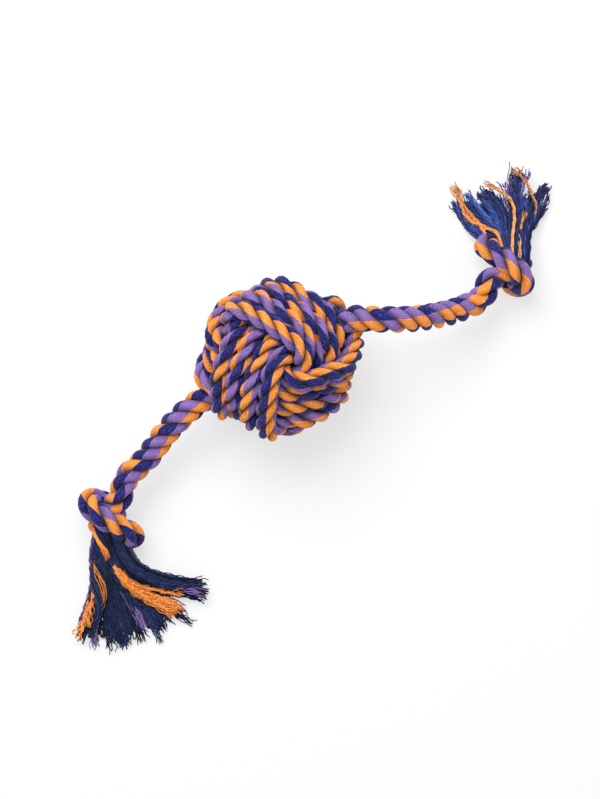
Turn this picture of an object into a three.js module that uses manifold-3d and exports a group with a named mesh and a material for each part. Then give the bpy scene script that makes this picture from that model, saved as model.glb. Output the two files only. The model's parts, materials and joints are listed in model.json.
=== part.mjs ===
// A cotton rope dog toy: a monkey's fist ball wound on a thick handle rope, whose arms end in knots and tassels.
// Millimetres and degrees, +Z up. +X follows the handle rope through the ball, from its low arm to its arched one.
import * as THREE from 'three';
import { mergeVertices } from 'three/addons/utils/BufferGeometryUtils.js';
import Module from 'manifold-3d';

const wasm = await Module();
wasm.setup();
const { Vector3 } = THREE;

// Handle rope
const ropeDiameter = 15; // where the rope is free
const squeezedDiameter = 12.4; // where the ball grips it
const knotRopeDiameter = 11; // where a knot pulls it tight
const strandCount = 3;
const layLength = 28.5; // one turn of a strand round the rope
const exitTilt = 13.8; // the rope's slope through the ball
const exitClear = 2.4; // from the middle of the ball's outer cords to an arm's rounded start

// Ball
const cordDiameter = 9.2; // the thinner rope that the ball is wound from
const turnsPerBand = 4; // three bands cross each other at right angles
const bandSpans = [[60, 135], [45, 135], [45, 100]]; // where each band starts and, after its turns, ends
const coreDiameter = 43;
const ballRoll = -12.8; // turn of the ball about the handle rope

// Knots and tassels
const knotHalfLength = 25; // from a knot's middle to the arm's last bend
const tasselReach = 20; // from a knot's middle to the tassel's bend
const tailDrop = 7; // fall of the rope's tail through the knot
const neckLength = 5;
const neckSlope = 20;
const lockRootHalf = 3.6; // half the width of a lock where it leaves the neck
const lockHalfHeight = 5; // at the tips
const lockFill = 0.88; // of the angle between neighbouring locks
const lockTurnShare = 0.5; // of a lock's length, before it faces its own way
const lockFallShare = 0.6; // of a lock's length, before it lies on the floor

// Clearances
const seatGap = 0.3; // between pieces that touch
const strandGap = 0.8; // between strands on a straight rope, which close up where it bends
const cordGap = 1.1; // between the ball's loops, as they are pushed apart
const bendGap = 0.6; // round a rope end that turns in its neighbour
const leastCordGap = 0.4;
const flatShare = 0.1; // depth of a resting flat, as a share of its rope's diameter

// Each side's arm in plan and height: the points between its first and last bend, and the place of its knot
const sides = [
  {
    name: 'left',
    heading: -1,
    lengths: 2,
    route: [[-62, -2.5, 31.5], [-78, -7.5, 27.5], [-93, -14.5, 24.5]],
    knot: [-130.4, -32.8],
    knotEntry: 213,
    knotExit: 243.7,
    lockAngles: [0, 22, 44],
    lockLength: 51,
  },
  {
    name: 'right',
    heading: 1,
    lengths: 3,
    route: [[60, -9, 58.5], [76, -17, 52], [93, -22.5, 38], [105, -24.5, 28]],
    knot: [141.1, -15.9],
    knotEntry: 21,
    knotExit: 63.7,
    lockAngles: [-21, 5, 31],
    lockLength: 33,
  },
];

// Fineness of the facets
const settleStep = 3;
const routeStep = 3.2;
const knotStep = 4;
const cordStep = 9.4; // about 24 to a loop of the ball
const cordSides = 6;
const strandSides = 6;
const ropeSides = 8;
const ballFacets = 14;
const lockSteps = 8;
const domeSteps = 5;
const domeTip = 15; // angle of a dome's first ring off the dome's axis
const floorBlock = 200; // a block wider than any piece that rests on the floor

const yarn = { roughness: 0.95, metalness: 0 };
const orangeYarn = new THREE.MeshStandardMaterial({ color: 0xf08a2c, ...yarn });
const purpleYarn = new THREE.MeshStandardMaterial({ color: 0x7a5fb0, ...yarn });
const navyYarn = new THREE.MeshStandardMaterial({ color: 0x23256b, ...yarn });
const strandMaterials = [orangeYarn, purpleYarn, navyYarn];

const radians = THREE.MathUtils.degToRad;
const ropeRadius = ropeDiameter / 2;
const knotRopeRadius = knotRopeDiameter / 2;
const cordRadius = cordDiameter / 2;
const toy = new THREE.Group();
const bends = {};

function addPiece(name, geometry, material) {
  geometry.computeVertexNormals();
  const mesh = new THREE.Mesh(geometry, material);
  mesh.name = name;
  toy.add(mesh);
}

// Boolean solids

function solidOf(geometry) {
  const bare = new THREE.BufferGeometry();
  bare.setAttribute('position', geometry.getAttribute('position').clone());
  bare.setIndex(geometry.getIndex());
  const merged = mergeVertices(bare, 1e-4);
  const vertProperties = new Float32Array(merged.getAttribute('position').array);
  const triVerts = new Uint32Array(merged.getIndex().array);
  return new wasm.Manifold(new wasm.Mesh({ numProp: 3, vertProperties, triVerts }));
}

function geometryOf(solid) {
  const mesh = solid.getMesh();
  const geometry = new THREE.BufferGeometry();
  geometry.setAttribute('position', new THREE.BufferAttribute(new Float32Array(mesh.vertProperties), 3));
  geometry.setIndex(new THREE.BufferAttribute(new Uint32Array(mesh.triVerts), 1));
  return geometry;
}

function ballAt(centre, radius) {
  const geometry = new THREE.SphereGeometry(radius, ballFacets, ballFacets / 2);
  return solidOf(geometry.translate(centre.x, centre.y, centre.z));
}

function belowFloor(centre) {
  const geometry = new THREE.BoxGeometry(floorBlock, floorBlock, floorBlock);
  return solidOf(geometry.translate(centre.x, centre.y, -floorBlock / 2));
}

// Routes and tubes

function respaced(route, step) {
  const along = [0];
  for (let i = 1; i < route.length; i += 1) {
    along.push(along[i - 1] + route[i].distanceTo(route[i - 1]));
  }
  const total = along[along.length - 1];
  const steps = Math.round(total / step);
  const points = [];
  let leg = 1;
  for (let k = 0; k <= steps; k += 1) {
    const at = (total * k) / steps;
    while (leg < route.length - 1 && along[leg] < at) {
      leg += 1;
    }
    const share = (at - along[leg - 1]) / (along[leg] - along[leg - 1]);
    points.push(route[leg - 1].clone().lerp(route[leg], Math.min(share, 1)));
  }
  return points;
}

// Frames that follow a route without twisting about it
function framesAlong(route) {
  const last = route.length - 1;
  const along = route.map((_, i) => {
    const ahead = route[Math.min(i + 1, last)];
    return ahead.clone().sub(route[Math.max(i - 1, 0)]).normalize();
  });
  const upright = Math.abs(along[0].z) < 0.9 ? new Vector3(0, 0, 1) : new Vector3(1, 0, 0);
  let side = upright.clone().cross(along[0]).normalize();
  return route.map((at, i) => {
    if (i > 0) {
      side = side.clone().applyQuaternion(new THREE.Quaternion().setFromUnitVectors(along[i - 1], along[i]));
    }
    return { at, along: along[i], side, up: along[i].clone().cross(side) };
  });
}

// A closed skin over rings of equally many points, which run anticlockwise seen from ahead
function skin(rings) {
  const count = rings[0].length;
  const points = rings.flat();
  const middles = [rings[0], rings[rings.length - 1]].map((ring) => {
    const sum = ring.reduce((total, point) => total.add(point), new Vector3());
    return sum.divideScalar(count);
  });
  const firstMiddle = points.length;
  const lastRing = (rings.length - 1) * count;
  const faces = [];
  for (let j = 0; j < count; j += 1) {
    const next = (j + 1) % count;
    for (let base = 0; base < lastRing; base += count) {
      faces.push(base + j, base + next, base + count + next);
      faces.push(base + j, base + count + next, base + count + j);
    }
    faces.push(firstMiddle, next, j);
    faces.push(firstMiddle + 1, lastRing + j, lastRing + next);
  }
  const geometry = new THREE.BufferGeometry().setFromPoints([...points, ...middles]);
  geometry.setIndex(faces);
  return geometry;
}

function tube(route, radiusAt, sideCount) {
  const rings = framesAlong(route).map((frame, i) => {
    const ring = [];
    for (let k = 0; k < sideCount; k += 1) {
      const turn = (2 * Math.PI * k) / sideCount;
      const point = frame.at.clone().addScaledVector(frame.side, radiusAt(i) * Math.cos(turn));
      ring.push(point.addScaledVector(frame.up, radiusAt(i) * Math.sin(turn)));
    }
    return ring;
  });
  return skin(rings);
}

// The rings of a rounded rope end, from near its tip up to the bend that it turns about
function domeRings(radius) {
  const rings = [];
  for (let k = 0; k < domeSteps; k += 1) {
    const turn = radians(domeTip + ((90 - domeTip) * k) / domeSteps);
    rings.push({ along: -radius * Math.cos(turn), radius: radius * Math.sin(turn) });
  }
  return rings;
}

// Settling: a slack route is drawn tight, while its loops push each other apart to a given spacing

const settleRounds = 400;
const respaceEvery = 20;
const drawnShare = 0.8; // of the rounds, before the pull is eased
const firmPull = 0.3;
const lightPull = 0.06;
const pushShare = 0.5; // of the missing spacing, given to each of two points that are too close
const sameLoop = 1.6; // spacings along the cord, within which two points don't push each other

function neighbourSteps(spacing) {
  return Math.ceil((sameLoop * spacing) / settleStep);
}

function settle(route, spacing, hold) {
  const skip = neighbourSteps(spacing);
  let points = route;
  for (let round = 0; round < settleRounds; round += 1) {
    if (round % respaceEvery === 0) {
      points = respaced(points, settleStep);
    }
    const pushes = points.map(() => new Vector3());
    const counts = points.map(() => 0);
    for (let i = 0; i < points.length; i += 1) {
      for (let j = i + skip + 1; j < points.length; j += 1) {
        const apart = points[i].distanceTo(points[j]);
        if (apart < spacing) {
          const push = points[i].clone().sub(points[j]).multiplyScalar(spacing / apart - 1);
          pushes[i].add(push);
          pushes[j].sub(push);
          counts[i] += 1;
          counts[j] += 1;
        }
      }
    }
    const pull = round < settleRounds * drawnShare ? firmPull : lightPull;
    const before = points;
    points = before.map((point, i) => {
      if (i === 0 || i === before.length - 1) {
        return hold(point.clone());
      }
      const straight = before[i - 1].clone().add(before[i + 1]).divideScalar(2).sub(point);
      const moved = point.clone().addScaledVector(straight, pull);
      return hold(moved.addScaledVector(pushes[i], pushShare / Math.max(counts[i], 1)));
    });
  }
  return points;
}

function leastSpacing(route, spacing) {
  const skip = neighbourSteps(spacing);
  let least = Infinity;
  for (let i = 0; i < route.length; i += 1) {
    for (let j = i + skip + 1; j < route.length; j += 1) {
      least = Math.min(least, route[i].distanceTo(route[j]));
    }
  }
  return least;
}

// Ball: the winding's three bands, each outer on two faces of a cube and inner on the next two

// How far out the cord's middle runs to clear a round piece, whose curve its straight facets cut inside
function roundClear(radius) {
  const reach = radius + seatGap + cordRadius;
  return reach + cordStep ** 2 / (8 * reach);
}

const exitLine = new Vector3(Math.cos(radians(exitTilt)), 0, Math.sin(radians(exitTilt)));
const cordSpacing = cordDiameter + cordGap;
const coreRadius = coreDiameter / 2;
const innerLayer = roundClear(coreRadius);
const holeRadius = roundClear(squeezedDiameter / 2);
const exitReach = innerLayer + cordSpacing + exitClear + ropeRadius;

// The ball's three square axes, with the handle rope along one corner line of a cube and the next corner on top
function ballAxes() {
  const cornerCosine = 1 / 3;
  const cornerSine = Math.sqrt(1 - cornerCosine ** 2);
  const upright = new Vector3(-exitLine.z, 0, exitLine.x);
  const topCorner = exitLine.clone().multiplyScalar(cornerCosine);
  topCorner.addScaledVector(upright, cornerSine * Math.cos(radians(ballRoll)));
  topCorner.addScaledVector(new Vector3(0, 1, 0), cornerSine * Math.sin(radians(ballRoll)));
  const across = topCorner.clone().cross(exitLine).normalize().multiplyScalar(Math.SQRT1_2);
  const half = topCorner.clone().add(exitLine).multiplyScalar(Math.sqrt(3) / 4);
  const third = topCorner.clone().sub(exitLine).multiplyScalar(Math.sqrt(3) / 2);
  return [half.clone().add(across), half.clone().sub(across), third];
}

function slackWinding() {
  const slack = 3; // room under the loops, before they are drawn tight
  const degreesPerStep = 5;
  const weaveSharpness = 3; // how quickly a loop changes from the outer layer to the inner one
  const axes = ballAxes();
  const middleLayer = innerLayer + slack + cordSpacing / 2;
  const points = [];
  bandSpans.forEach(([start, lastPart], band) => {
    const end = lastPart + 360 * turnsPerBand;
    const [outward, inward, across] = [0, 1, 2].map((k) => axes[(band + k) % 3]);
    const steps = Math.round((end - start) / degreesPerStep);
    for (let k = 0; k <= steps; k += 1) {
      const turn = radians(start + ((end - start) * k) / steps);
      const layer = (Math.tanh(weaveSharpness * Math.cos(2 * turn)) * cordSpacing) / 2;
      const height = ((k / steps - 0.5) * (end - start) * cordSpacing) / 360;
      const reach = Math.sqrt((middleLayer + layer) ** 2 - height ** 2);
      const point = outward.clone().multiplyScalar(reach * Math.cos(turn));
      point.addScaledVector(inward, reach * Math.sin(turn));
      points.push(point.addScaledVector(across, height));
    }
  });
  return points;
}

// Keeps the winding outside the core and clear of the handle rope
function clearOfCore(point) {
  if (point.length() < innerLayer) {
    point.setLength(innerLayer);
  }
  const onLine = exitLine.clone().multiplyScalar(point.dot(exitLine));
  const off = point.clone().sub(onLine);
  return off.length() < holeRadius ? onLine.add(off.setLength(holeRadius)) : point;
}

const winding = settle(slackWinding(), cordSpacing, clearOfCore);
const windingGap = leastSpacing(winding, cordSpacing) - cordDiameter;
console.log(`least gap of the ball's winding to itself: ${windingGap.toFixed(2)} mm`);
if (windingGap < leastCordGap) {
  console.log('the winding is too tight for its cord');
}
const lowest = Math.min(...winding.map((point) => point.z)) - cordRadius;
const ballCentre = new Vector3(0, 0, -lowest - cordDiameter * flatShare);

function addBall() {
  const centred = winding.map((point) => point.clone().add(ballCentre));
  const cord = solidOf(tube(respaced(centred, cordStep), () => cordRadius, cordSides));
  addPiece('ball_winding', geometryOf(cord.subtract(belowFloor(ballCentre))), orangeYarn);

  const reach = exitLine.clone().multiplyScalar(exitReach);
  const ends = [ballCentre.clone().sub(reach), ballCentre.clone().add(reach)];
  const bore = solidOf(tube(ends, () => squeezedDiameter / 2 + seatGap, ropeSides));
  addPiece('ball_core', geometryOf(ballAt(ballCentre, coreRadius).subtract(bore)), purpleYarn);

  let rope = solidOf(tube(ends, () => squeezedDiameter / 2, ropeSides));
  ends.forEach((end) => {
    rope = rope.subtract(ballAt(end, ropeRadius + bendGap));
  });
  addPiece('handle_rope_centre', geometryOf(rope), navyYarn);
}

// Knots: a slack overhand knot drawn tight between the arm's last bend and the tassel's bend

function slackKnot(start, end) {
  const size = 7; // scale of the slack loops
  const reach = 2.1; // the trefoil formula's span to each side of its middle
  const steps = 120;
  const loose = [];
  for (let k = 0; k <= steps; k += 1) {
    const t = reach * ((2 * k) / steps - 1);
    loose.push([t ** 3 - 3 * t, (t ** 5 - 10 * t) / 5, t ** 4 - 4 * t ** 2 + 1]);
  }
  const [endX, endY] = loose[steps];
  const far = Math.hypot(endX, endY);
  const turned = loose.map(([x, y, z]) => {
    const along = (x * endX + y * endY) / far;
    return new Vector3(along, (x * endY - y * endX) / far, z).multiplyScalar(size);
  });
  return [start, ...turned, end];
}

function knotOf(side) {
  const heading = radians((side.knotEntry + side.knotExit) / 2);
  const swing = radians((side.knotExit - side.knotEntry) / 2);
  const start = new Vector3(-Math.cos(swing), Math.sin(swing), 0).multiplyScalar(knotHalfLength);
  const end = new Vector3(Math.cos(swing), Math.sin(swing), 0).multiplyScalar(tasselReach);
  end.z = -tailDrop;
  const route = settle(slackKnot(start, end), knotRopeDiameter + bendGap, (point) => point);
  const sunk = Math.min(...route.map((point) => point.z)) - knotRopeRadius;
  const place = new THREE.Matrix4().makeRotationZ(heading);
  place.setPosition(side.knot[0], side.knot[1], -sunk - knotRopeDiameter * flatShare);
  return route.map((point) => point.applyMatrix4(place));
}

// The rope narrows to its tight size within one diameter of the rounded start
function addKnot(side, knot) {
  const last = knot.length - 1;
  const inward = knot[1].clone().sub(knot[0]).normalize();
  const dome = domeRings(ropeRadius);
  const route = dome.map((ring) => knot[0].clone().addScaledVector(inward, ring.along));
  const radii = dome.map((ring) => ring.radius);
  respaced(knot, knotStep).forEach((point, i) => {
    const share = Math.min((i * knotStep) / ropeDiameter, 1);
    route.push(point);
    radii.push(ropeRadius + (knotRopeRadius - ropeRadius) * share);
  });
  let rope = solidOf(tube(route, (i) => radii[i], ropeSides));
  rope = rope.subtract(ballAt(knot[last], knotRopeRadius + bendGap));
  rope = rope.subtract(belowFloor(knot[Math.round(last / 2)]));
  addPiece(`${side.name}_knot`, geometryOf(rope), purpleYarn);
}

// Arms: three strands laid together, cut into lengths that bend where a rounded end sits in a hollow one

// The largest strand that clears its neighbours, found by trying the radius that the last guess leaves room for
function strandRadius() {
  const guesses = 40;
  let radius = ropeRadius / 2;
  for (let guess = 0; guess < guesses; guess += 1) {
    const out = ropeRadius - radius;
    let least = Infinity;
    for (let turn = -180; turn <= 180; turn += 1) {
      const chord = 2 * out * Math.sin(radians(turn + 360 / strandCount) / 2);
      least = Math.min(least, Math.hypot(chord, (layLength * turn) / 360));
    }
    radius += ((least - strandGap) / 2 - radius) / 4;
  }
  return radius;
}

function armRoute(side, lastBend, onward) {
  const firstBend = ballCentre.clone().addScaledVector(exitLine, side.heading * exitReach);
  const points = [firstBend, ...side.route.map((at) => new Vector3(...at)), lastBend];
  const curve = new THREE.CatmullRomCurve3(points);
  const steps = Math.round(curve.getLength() / routeStep);
  const leadSteps = Math.ceil(ropeRadius / routeStep) + 1;
  const route = curve.getSpacedPoints(steps);
  for (let k = 1; k <= leadSteps; k += 1) {
    route.unshift(firstBend.clone().addScaledVector(exitLine, -side.heading * routeStep * k));
    route.push(lastBend.clone().addScaledVector(onward, routeStep * k));
  }
  const bendSteps = [];
  for (let k = 0; k <= side.lengths; k += 1) {
    bendSteps.push(leadSteps + Math.round((steps * k) / side.lengths));
  }
  return { route, bendSteps };
}

function addArm(side, lastBend, onward) {
  const { route, bendSteps } = armRoute(side, lastBend, onward);
  const frames = framesAlong(route);
  const radius = strandRadius();
  const strands = strandMaterials.map((_, n) => {
    const line = frames.map((frame, i) => {
      const turn = 2 * Math.PI * ((i * routeStep) / layLength + n / strandCount);
      const point = frame.at.clone().addScaledVector(frame.side, (ropeRadius - radius) * Math.cos(turn));
      return point.addScaledVector(frame.up, (ropeRadius - radius) * Math.sin(turn));
    });
    return solidOf(tube(line, () => radius, strandSides));
  });
  for (let k = 0; k < side.lengths; k += 1) {
    const stretch = route.slice(bendSteps[k], bendSteps[k + 1] + 1);
    let room = solidOf(tube(stretch, () => ropeDiameter, ropeSides));
    room = room.add(ballAt(stretch[0], ropeRadius));
    room = room.subtract(ballAt(stretch[stretch.length - 1], ropeRadius + bendGap));
    strands.forEach((strand, n) => {
      const name = `${side.name}_arm_${k + 1}_strand_${n + 1}`;
      addPiece(name, geometryOf(strand.intersect(room)), strandMaterials[n]);
    });
    bends[`${side.name}_arm_${k + 1}`] = { at: stretch[0], along: frames[bendSteps[k]].along };
  }
}

// Tassels: a rounded neck, and one lock of loose yarn from each strand
// A lock's rings leave the neck side by side, then fan out, widen and come down to the floor
function lockRings(side, root, rootShift, angle, tipHalfWidth) {
  const exit = radians(side.knotExit);
  const heading = exit + radians(angle);
  const start = root.clone().add(new Vector3(-Math.sin(exit), Math.cos(exit), 0).multiplyScalar(rootShift));
  const onward = new Vector3(Math.cos(heading), Math.sin(heading), 0).multiplyScalar(side.lockLength);
  const rings = [];
  for (let k = 0; k <= lockSteps; k += 1) {
    const share = k / lockSteps;
    const facing = exit + radians(angle) * Math.min(share / lockTurnShare, 1);
    const across = new Vector3(-Math.sin(facing), Math.cos(facing), 0);
    const centre = start.clone().addScaledVector(onward, share);
    const fall = THREE.MathUtils.smoothstep(share, 0, lockFallShare);
    centre.z += (lockHalfHeight + seatGap - root.z) * fall;
    const halfWidth = lockRootHalf + (tipHalfWidth - lockRootHalf) * share;
    const halfHeight = lockRootHalf + (lockHalfHeight - lockRootHalf) * share;
    const ring = [];
    for (let j = 0; j < ropeSides; j += 1) {
      const turn = (2 * Math.PI * j) / ropeSides;
      const point = centre.clone().addScaledVector(across, halfWidth * Math.cos(turn));
      point.z += halfHeight * Math.sin(turn);
      ring.push(point);
    }
    rings.push(ring);
  }
  return rings;
}

function addTassel(side, bend) {
  const exit = radians(side.knotExit);
  const slope = radians(neckSlope);
  const along = new Vector3(Math.cos(exit), Math.sin(exit), 0).multiplyScalar(Math.cos(slope));
  along.z = -Math.sin(slope);
  const rings = domeRings(knotRopeRadius);
  rings.push({ along: 0, radius: knotRopeRadius }, { along: neckLength, radius: knotRopeRadius });
  const neck = rings.map((ring) => bend.clone().addScaledVector(along, ring.along));
  addPiece(`${side.name}_tassel_neck`, tube(neck, (i) => rings[i].radius, ropeSides), navyYarn);

  const root = bend.clone().addScaledVector(along, neckLength + seatGap + lockRootHalf * Math.tan(slope));
  const halfAngle = (side.lockAngles[1] - side.lockAngles[0]) / 2;
  const tipHalfWidth = lockRootHalf + side.lockLength * Math.tan(radians(halfAngle * lockFill));
  side.lockAngles.forEach((angle, n) => {
    const rootShift = (n - 1) * (2 * lockRootHalf + seatGap);
    const lock = lockRings(side, root, rootShift, angle, tipHalfWidth);
    addPiece(`${side.name}_tassel_lock_${n + 1}`, skin(lock), navyYarn);
  });
  bends[`${side.name}_tassel`] = { at: bend, along };
}

addBall();
sides.forEach((side) => {
  const knot = knotOf(side);
  const onward = knot[1].clone().sub(knot[0]).normalize();
  addArm(side, knot[0], onward);
  addKnot(side, knot);
  bends[`${side.name}_knot`] = { at: knot[0], along: onward };
  addTassel(side, knot[knot.length - 1]);
});

// The origin is on the floor, under the middle of the toy's bounding box
const box = new THREE.Box3().setFromObject(toy);
const middle = box.getCenter(new Vector3());
toy.position.set(-middle.x, -middle.y, -box.min.z);
Object.values(bends).forEach((bend) => {
  bend.at = bend.at.clone().add(toy.position);
});
toy.userData.bends = bends;

export default toy;
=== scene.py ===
import json
import math

import bpy
import mathutils
import numpy as np
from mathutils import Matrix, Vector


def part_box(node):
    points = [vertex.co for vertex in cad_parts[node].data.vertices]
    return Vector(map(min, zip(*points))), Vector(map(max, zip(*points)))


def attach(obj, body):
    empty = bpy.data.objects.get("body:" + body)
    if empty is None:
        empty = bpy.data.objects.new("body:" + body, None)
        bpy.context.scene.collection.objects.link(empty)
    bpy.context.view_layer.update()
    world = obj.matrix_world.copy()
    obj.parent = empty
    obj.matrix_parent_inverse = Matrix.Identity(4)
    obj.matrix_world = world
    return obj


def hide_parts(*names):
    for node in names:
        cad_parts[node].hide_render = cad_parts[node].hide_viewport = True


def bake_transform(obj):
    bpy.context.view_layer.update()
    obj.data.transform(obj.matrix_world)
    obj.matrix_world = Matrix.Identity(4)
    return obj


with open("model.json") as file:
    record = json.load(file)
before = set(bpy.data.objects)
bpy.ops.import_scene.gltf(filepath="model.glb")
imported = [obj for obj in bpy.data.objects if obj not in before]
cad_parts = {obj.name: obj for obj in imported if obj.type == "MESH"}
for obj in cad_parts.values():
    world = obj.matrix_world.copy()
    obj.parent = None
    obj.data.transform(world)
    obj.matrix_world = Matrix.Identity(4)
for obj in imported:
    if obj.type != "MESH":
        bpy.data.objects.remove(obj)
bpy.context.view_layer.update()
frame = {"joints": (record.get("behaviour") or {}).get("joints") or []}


# Ball core
# The filling that the ball is wound on: a hank of waste yarn rolled into a tight round, which only shows as a
# dark shape between the cords. Its ridges are the yarn's last turns.

mm = 0.001
core_low, core_high = (np.array(corner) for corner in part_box("ball_core"))
ball_centre = (core_low + core_high) / 2
core_radius = 21.5 * mm
core_ridges = 26
core_ridge_depth = 0.7 * mm
core_ridge_sway = 0.25
core_sides = 72
core_rings = 40
core_end_angle = 88
core_relief = 0.3 * mm
core_shade = 0.7
core_fibre_shade = 0.5
navy = (0.012, 0.014, 0.14, 1)


class Value:
    """A shader socket. Arithmetic on it adds Math nodes to its finish."""

    def __init__(self, finish, socket):
        self.finish = finish
        self.socket = socket

    def maths(self, operation, *values):
        return self.finish.node("ShaderNodeMath", {"operation": operation}, dict(enumerate(values)))

    def __add__(self, other):
        return self.maths("ADD", self, other)

    def __sub__(self, other):
        return self.maths("SUBTRACT", self, other)

    def __rsub__(self, other):
        return self.maths("SUBTRACT", other, self)

    def __mul__(self, other):
        return self.maths("MULTIPLY", self, other)

    def fraction(self):
        return self.maths("FRACT", self)

    __radd__ = __add__
    __rmul__ = __mul__


class Finish:
    """A material under its own name, whose nodes are made one at a time."""

    def __init__(self, name):
        self.material = bpy.data.materials.new(name)
        self.material.use_nodes = True
        self.tree = self.material.node_tree
        self.tree.nodes.clear()

    def node(self, kind, settings=None, inputs=None, output=0):
        """A node with its settings, and the values or links of its sockets. Gives the output asked for."""
        made = self.tree.nodes.new(kind)
        for key, value in (settings or {}).items():
            if key == "stops":
                self.set_stops(made.color_ramp, value)
            else:
                setattr(made, key, value)
        for key, value in (inputs or {}).items():
            if isinstance(value, Value):
                self.tree.links.new(value.socket, made.inputs[key])
            else:
                made.inputs[key].default_value = value
        return Value(self, made.outputs[output]) if made.outputs else None

    @staticmethod
    def set_stops(ramp, stops):
        while len(ramp.elements) < len(stops):
            ramp.elements.new(1)
        for element, (place, colour) in zip(ramp.elements, stops):
            element.position = place
            element.color = colour

    def noise(self, scale, detail):
        place = self.node("ShaderNodeTexCoord", output="Object")
        return self.node("ShaderNodeTexNoise", None, {"Vector": place, "Scale": scale, "Detail": detail})

    def mixed(self, blend, share, first, second):
        """Two colours mixed. Sockets 6 and 7 of a Mix node are its colours, and output 2 is the mixed one."""
        return self.node("ShaderNodeMix", {"data_type": "RGBA", "blend_type": blend},
                         {0: share, 6: first, 7: second}, output=2)

    def shaded(self, colour, shade):
        return self.mixed("MULTIPLY", 1.0, colour, shade)

    def cotton(self, colour, height, relief):
        """Ends the tree with soft, dull cotton of that colour, raised by height."""
        bump = self.node("ShaderNodeBump", None, {"Height": height, "Strength": 0.7, "Distance": relief})
        surface = self.node("ShaderNodeBsdfPrincipled", None, {
            "Base Color": colour,
            "Normal": bump,
            "Roughness": 0.92,
            "Specular IOR Level": 0.15,
            "Sheen Weight": 0.14,
            "Sheen Roughness": 0.45,
        })
        return self.ended(surface)

    def ended(self, surface):
        self.node("ShaderNodeOutputMaterial", None, {"Surface": surface})
        return self.material


def make_piece(name, points, quads, ends, material, attributes=None, normals=None):
    """A mesh of smooth quads and flat end faces, with numbers on its points for the material."""
    mesh = bpy.data.meshes.new(name)
    mesh.from_pydata(points.tolist(), [], quads.tolist() + ends.tolist())
    mesh.polygons.foreach_set("use_smooth", np.arange(len(mesh.polygons)) < len(quads))
    for key, values in (attributes or {}).items():
        layer = mesh.attributes.new(key, "FLOAT", "POINT")
        layer.data.foreach_set("value", np.asarray(values, np.float32).ravel())
    mesh.materials.append(material)
    if normals is not None:
        mesh.normals_split_custom_set_from_vertices(normals.reshape(-1, 3).tolist())
    mesh.update()
    piece = bpy.data.objects.new(name, mesh)
    bpy.context.scene.collection.objects.link(piece)
    return piece


def tubes(rings):
    """Points, quads and end faces of closed tubes over rings given as tube, ring, side, place."""
    count, length, sides = rings.shape[:3]
    here = np.arange(sides)
    ahead = (here + 1) % sides
    first = np.stack([here, ahead, ahead + sides, here + sides], axis=1)
    each = (first[None] + np.arange(length - 1)[:, None, None] * sides).reshape(-1, 4)
    starts = np.arange(count)[:, None] * length * sides
    quads = (each[None] + starts[..., None]).reshape(-1, 4)
    ends = np.concatenate([starts + here[::-1], starts + (length - 1) * sides + here])
    return rings.reshape(-1, 3), quads, ends


def core_finish():
    finish = Finish("core yarn")
    fibre = finish.noise(scale=1500, detail=3)
    colour = finish.shaded(navy, core_shade + core_fibre_shade * fibre)
    return finish.cotton(colour, fibre, core_relief)


def make_core():
    around = np.radians(np.linspace(0, 360, core_sides, endpoint=False))
    upward = np.radians(np.linspace(-core_end_angle, core_end_angle, core_rings))
    lap, rise = np.meshgrid(around, upward)
    ridge = np.abs(np.sin(core_ridges / 2 * (rise + core_ridge_sway * np.sin(lap))))
    radius = core_radius - core_ridge_depth * (1 - ridge)
    ring = np.stack([np.cos(rise) * np.cos(lap), np.cos(rise) * np.sin(lap), np.sin(rise)], axis=2)
    return make_piece("core_of_ball", *tubes(ball_centre + ring[None] * radius[..., None]), core_finish())


core = make_core()
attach(core, "ball")
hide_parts("ball_core")


# Ball winding
# One length of thinner three-strand cotton rope, tied as a monkey's fist: four turns in each of three bands
# that cross each other at right angles. It is tied slack and drawn tight, so its route is settled here in
# the same way.

cord_diameter = 9.2 * mm
cord_gap = 1.1 * mm
cord_spacing = cord_diameter + cord_gap
seat_gap = 0.3 * mm
facet_step = 9.4 * mm
squeezed_radius = 6.2 * mm
exit_tilt = math.radians(13.8)
exit_line = np.array([math.cos(exit_tilt), 0, math.sin(exit_tilt)])
ball_roll = math.radians(-12.8)
turns_per_band = 4
full_turn = 2 * np.pi

# Each band's start and end in degrees, apart from its whole turns, and the degrees between its points
band_spans = ((60, 135), (45, 135), (45, 100))
slack_degrees = 5
slack = 3 * mm
layer_change = 3

# How a slack route is drawn tight: by a strong pull and then a weak one, with its points evened out at times
settle_step = 3 * mm
settle_rounds = 400
strong_rounds = 320
strong_pull = 0.3
weak_pull = 0.06
rounds_per_spacing = 20
push_share = 0.5
same_loop = 1.6
least_square = 1e-15


def spaced(points, step):
    """The same route in even steps of about that length."""
    legs = np.linalg.norm(np.diff(points, axis=0), axis=1)
    along = np.concatenate([[0], np.cumsum(legs)])
    at = np.linspace(0, along[-1], round(along[-1] / step) + 1)
    return np.stack([np.interp(at, along, points[:, k]) for k in range(3)], axis=1)


def settled(points, spacing, hold):
    """A slack route drawn tight, while its loops push each other apart to the spacing."""
    skip = math.ceil(same_loop * spacing / settle_step)
    for turn in range(settle_rounds):
        if turn % rounds_per_spacing == 0:
            points = spaced(points, settle_step)
            order = np.arange(len(points))
            near = np.abs(order[:, None] - order[None]) <= skip
        square = (points ** 2).sum(axis=1)
        apart = np.sqrt(np.maximum(square[:, None] + square[None] - 2 * points @ points.T, least_square))
        push = np.where(near | (apart > spacing), 0, spacing / apart - 1)
        count = np.maximum((push > 0).sum(axis=1), 1)
        away = push.sum(axis=1)[:, None] * points - push @ points
        moved = points + away * (push_share / count)[:, None]
        pull = strong_pull if turn < strong_rounds else weak_pull
        moved[1:-1] += pull * ((points[:-2] + points[2:]) / 2 - points[1:-1])
        moved[[0, -1]] = points[[0, -1]]
        points = hold(moved)
    return points


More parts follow.
